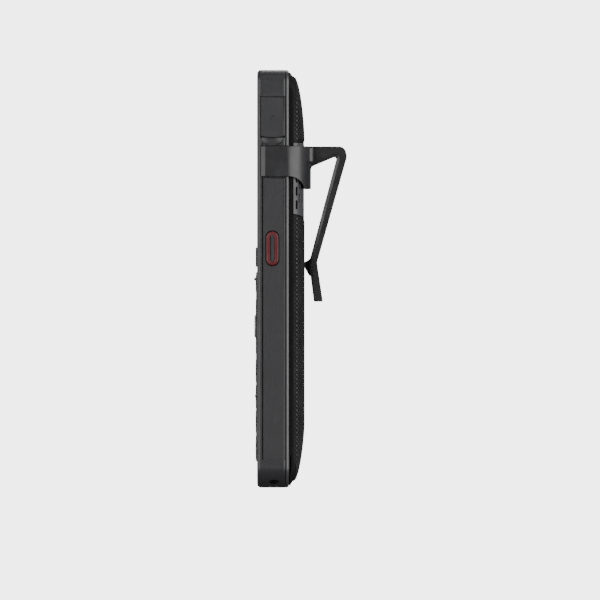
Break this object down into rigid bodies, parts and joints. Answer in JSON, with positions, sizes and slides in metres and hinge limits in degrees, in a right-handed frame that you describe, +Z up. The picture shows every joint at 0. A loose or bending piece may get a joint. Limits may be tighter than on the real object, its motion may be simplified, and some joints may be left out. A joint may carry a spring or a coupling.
{
  "type": "rugged handheld terminal",
  "caption": "Slim rugged keypad handheld with display, textured crowned back cover, red-ringed side alert button and a sprung belt clip on a slide-off yoke.",
  "frame": {"origin": "centre of the flat bottom end face, midway across the width and on the centre plane of the side wall", "axes": "+Z up along the handset to its top end, -Y out of the display and keypad, +Y out of the back and belt clip, +X out of the side with the alert button"},
  "size_m": [0.0544, 0.0334, 0.15],
  "materials": {
    "housing": "moulded dark grey, fine spark-eroded grain, satin edges",
    "keypad": "near-black, fine grain",
    "key": "near-black moulded keys with pale legends",
    "select": "silver-grey lacquered key",
    "glass": "dark printed cover glass, polished",
    "grip": "dark grey overmould, matt",
    "cover": "near-black, moulded grip texture of small raised dots",
    "grille": "mid grey, fine grain",
    "clip": "glass-filled nylon, dark grey, satin",
    "alert": "dark red, satin",
    "board": "green solder mask",
    "steel": "stamped steel, satin",
    "gold": "gold plated, satin",
    "black": "black, moulded",
    "battery": "aluminium can in a dark printed sleeve, matt"
  },
  "bodies": {
    "handset": {"front_cover": "housing", "mid_housing": "housing", "rear_frame": "housing", "display_window": "glass", "status_light": "glass", "lcd_module": "steel", "earpiece_mesh": "steel", "microphone": "steel", "shield_can": "steel", "usb_port": "steel", "vibration_motor": "steel", "housing_screw_lower_left": "steel", "housing_screw_lower_right": "steel", "housing_screw_upper_left": "steel", "housing_screw_upper_right": "steel", "earpiece": "black", "keypad_membrane": "black", "loudspeaker": "black", "keypad_panel": "keypad", "rear_cover": "cover", "speaker_grille": "grille", "main_board": "board", "battery_pack": "battery", "antenna": "gold", "charge_contact_1": "gold", "charge_contact_2": "gold", "charge_contact_3": "gold", "charge_contact_4": "gold", "side_grip_right": "grip", "side_grip_left": "grip"},
    "belt_clip": {"clip_yoke": "clip"},
    "clip_spring": {"clip_arm": "clip"},
    "alert_button": {"alert_button_ring": "alert", "alert_button_cap": "grip"},
    "volume_rocker": {"volume_rocker": "key"},
    "port_cover": {"port_cover": "grip"},
    "key_1": {"key_1": "key"},
    "key_2": {"key_2": "key"},
    "key_3": {"key_3": "key"},
    "key_4": {"key_4": "key"},
    "key_5": {"key_5": "key"},
    "key_6": {"key_6": "key"},
    "key_7": {"key_7": "key"},
    "key_8": {"key_8": "key"},
    "key_9": {"key_9": "key"},
    "key_star": {"key_star": "key"},
    "key_0": {"key_0": "key"},
    "key_hash": {"key_hash": "key"},
    "shortcut_key_left": {"shortcut_key_left": "key"},
    "shortcut_key_middle": {"shortcut_key_middle": "key"},
    "shortcut_key_right": {"shortcut_key_right": "key"},
    "soft_key_left": {"soft_key_left": "key"},
    "soft_key_middle": {"soft_key_middle": "key"},
    "soft_key_right": {"soft_key_right": "key"},
    "call_key": {"call_key": "key"},
    "end_key": {"end_key": "key"},
    "select_key": {"select_key": "select"},
    "nav_carrier": {"nav_carrier": "black"},
    "nav_ring": {"nav_ring": "key"}
  },
  "joints": [
    {"name": "clip_release", "type": "slide", "parent": "handset", "child": "belt_clip", "axis": [0, 1, 0], "range_m": [0, 0.03]},
    {"name": "clip_opening", "type": "hinge", "parent": "belt_clip", "child": "clip_spring", "pos_m": [0, 0.024, 0.1196], "axis": [1, 0, 0], "range_deg": [0, 12], "stiffness_Nm_per_rad": 5, "springref_deg": -2.86},
    {"name": "alert_press", "type": "slide", "parent": "handset", "child": "alert_button", "axis": [-1, 0, 0], "range_m": [0, 0.0005], "stiffness_N_per_m": 1200, "springref_m": -0.0006},
    {"name": "volume_rock", "type": "hinge", "parent": "handset", "child": "volume_rocker", "pos_m": [-0.0252, 0, 0.094], "axis": [0, 1, 0], "range_deg": [-2.5, 2.5], "stiffness_Nm_per_rad": 0.6},
    {"name": "port_cover_hinge", "type": "hinge", "parent": "handset", "child": "port_cover", "pos_m": [0.0265, 0, 0.14015], "axis": [0, -1, 0], "range_deg": [0, 110], "stiffness_Nm_per_rad": 0.002, "springref_deg": -11.46},
    {"name": "key_1_press", "type": "slide", "parent": "handset", "child": "key_1", "axis": [0, 1, 0], "range_m": [0, 0.00035], "stiffness_N_per_m": 900, "springref_m": -0.0006},
    {"name": "key_2_press", "type": "slide", "parent": "handset", "child": "key_2", "axis": [0, 1, 0], "range_m": [0, 0.00035], "stiffness_N_per_m": 900, "springref_m": -0.0006},
    {"name": "key_3_press", "type": "slide", "parent": "handset", "child": "key_3", "axis": [0, 1, 0], "range_m": [0, 0.00035], "stiffness_N_per_m": 900, "springref_m": -0.0006},
    {"name": "key_4_press", "type": "slide", "parent": "handset", "child": "key_4", "axis": [0, 1, 0], "range_m": [0, 0.00035], "stiffness_N_per_m": 900, "springref_m": -0.0006},
    {"name": "key_5_press", "type": "slide", "parent": "handset", "child": "key_5", "axis": [0, 1, 0], "range_m": [0, 0.00035], "stiffness_N_per_m": 900, "springref_m": -0.0006},
    {"name": "key_6_press", "type": "slide", "parent": "handset", "child": "key_6", "axis": [0, 1, 0], "range_m": [0, 0.00035], "stiffness_N_per_m": 900, "springref_m": -0.0006},
    {"name": "key_7_press", "type": "slide", "parent": "handset", "child": "key_7", "axis": [0, 1, 0], "range_m": [0, 0.00035], "stiffness_N_per_m": 900, "springref_m": -0.0006},
    {"name": "key_8_press", "type": "slide", "parent": "handset", "child": "key_8", "axis": [0, 1, 0], "range_m": [0, 0.00035], "stiffness_N_per_m": 900, "springref_m": -0.0006},
    {"name": "key_9_press", "type": "slide", "parent": "handset", "child": "key_9", "axis": [0, 1, 0], "range_m": [0, 0.00035], "stiffness_N_per_m": 900, "springref_m": -0.0006},
    {"name": "key_star_press", "type": "slide", "parent": "handset", "child": "key_star", "axis": [0, 1, 0], "range_m": [0, 0.00035], "stiffness_N_per_m": 900, "springref_m": -0.0006},
    {"name": "key_0_press", "type": "slide", "parent": "handset", "child": "key_0", "axis": [0, 1, 0], "range_m": [0, 0.00035], "stiffness_N_per_m": 900, "springref_m": -0.0006},
    {"name": "key_hash_press", "type": "slide", "parent": "handset", "child": "key_hash", "axis": [0, 1, 0], "range_m": [0, 0.00035], "stiffness_N_per_m": 900, "springref_m": -0.0006},
    {"name": "shortcut_key_left_press", "type": "slide", "parent": "handset", "child": "shortcut_key_left", "axis": [0, 1, 0], "range_m": [0, 0.00035], "stiffness_N_per_m": 900, "springref_m": -0.0006},
    {"name": "shortcut_key_middle_press", "type": "slide", "parent": "handset", "child": "shortcut_key_middle", "axis": [0, 1, 0], "range_m": [0, 0.00035], "stiffness_N_per_m": 900, "springref_m": -0.0006},
    {"name": "shortcut_key_right_press", "type": "slide", "parent": "handset", "child": "shortcut_key_right", "axis": [0, 1, 0], "range_m": [0, 0.00035], "stiffness_N_per_m": 900, "springref_m": -0.0006},
    {"name": "soft_key_left_press", "type": "slide", "parent": "handset", "child": "soft_key_left", "axis": [0, 1, 0], "range_m": [0, 0.00035], "stiffness_N_per_m": 900, "springref_m": -0.0006},
    {"name": "soft_key_middle_press", "type": "slide", "parent": "handset", "child": "soft_key_middle", "axis": [0, 1, 0], "range_m": [0, 0.00035], "stiffness_N_per_m": 900, "springref_m": -0.0006},
    {"name": "soft_key_right_press", "type": "slide", "parent": "handset", "child": "soft_key_right", "axis": [0, 1, 0], "range_m": [0, 0.00035], "stiffness_N_per_m": 900, "springref_m": -0.0006},
    {"name": "call_key_press", "type": "slide", "parent": "handset", "child": "call_key", "axis": [0, 1, 0], "range_m": [0, 0.00035], "stiffness_N_per_m": 900, "springref_m": -0.0006},
    {"name": "end_key_press", "type": "slide", "parent": "handset", "child": "end_key", "axis": [0, 1, 0], "range_m": [0, 0.00035], "stiffness_N_per_m": 900, "springref_m": -0.0006},
    {"name": "select_key_press", "type": "slide", "parent": "handset", "child": "select_key", "axis": [0, 1, 0], "range_m": [0, 0.00035], "stiffness_N_per_m": 900, "springref_m": -0.0006},
    {"name": "nav_up_down", "type": "hinge", "parent": "handset", "child": "nav_carrier", "pos_m": [0, -0.00345, 0.0579], "axis": [1, 0, 0], "range_deg": [-1, 1], "stiffness_Nm_per_rad": 0.8},
    {"name": "nav_left_right", "type": "hinge", "parent": "nav_carrier", "child": "nav_ring", "pos_m": [0, -0.00345, 0.0579], "axis": [0, 0, 1], "range_deg": [-1, 1], "stiffness_Nm_per_rad": 0.8}
  ]
}
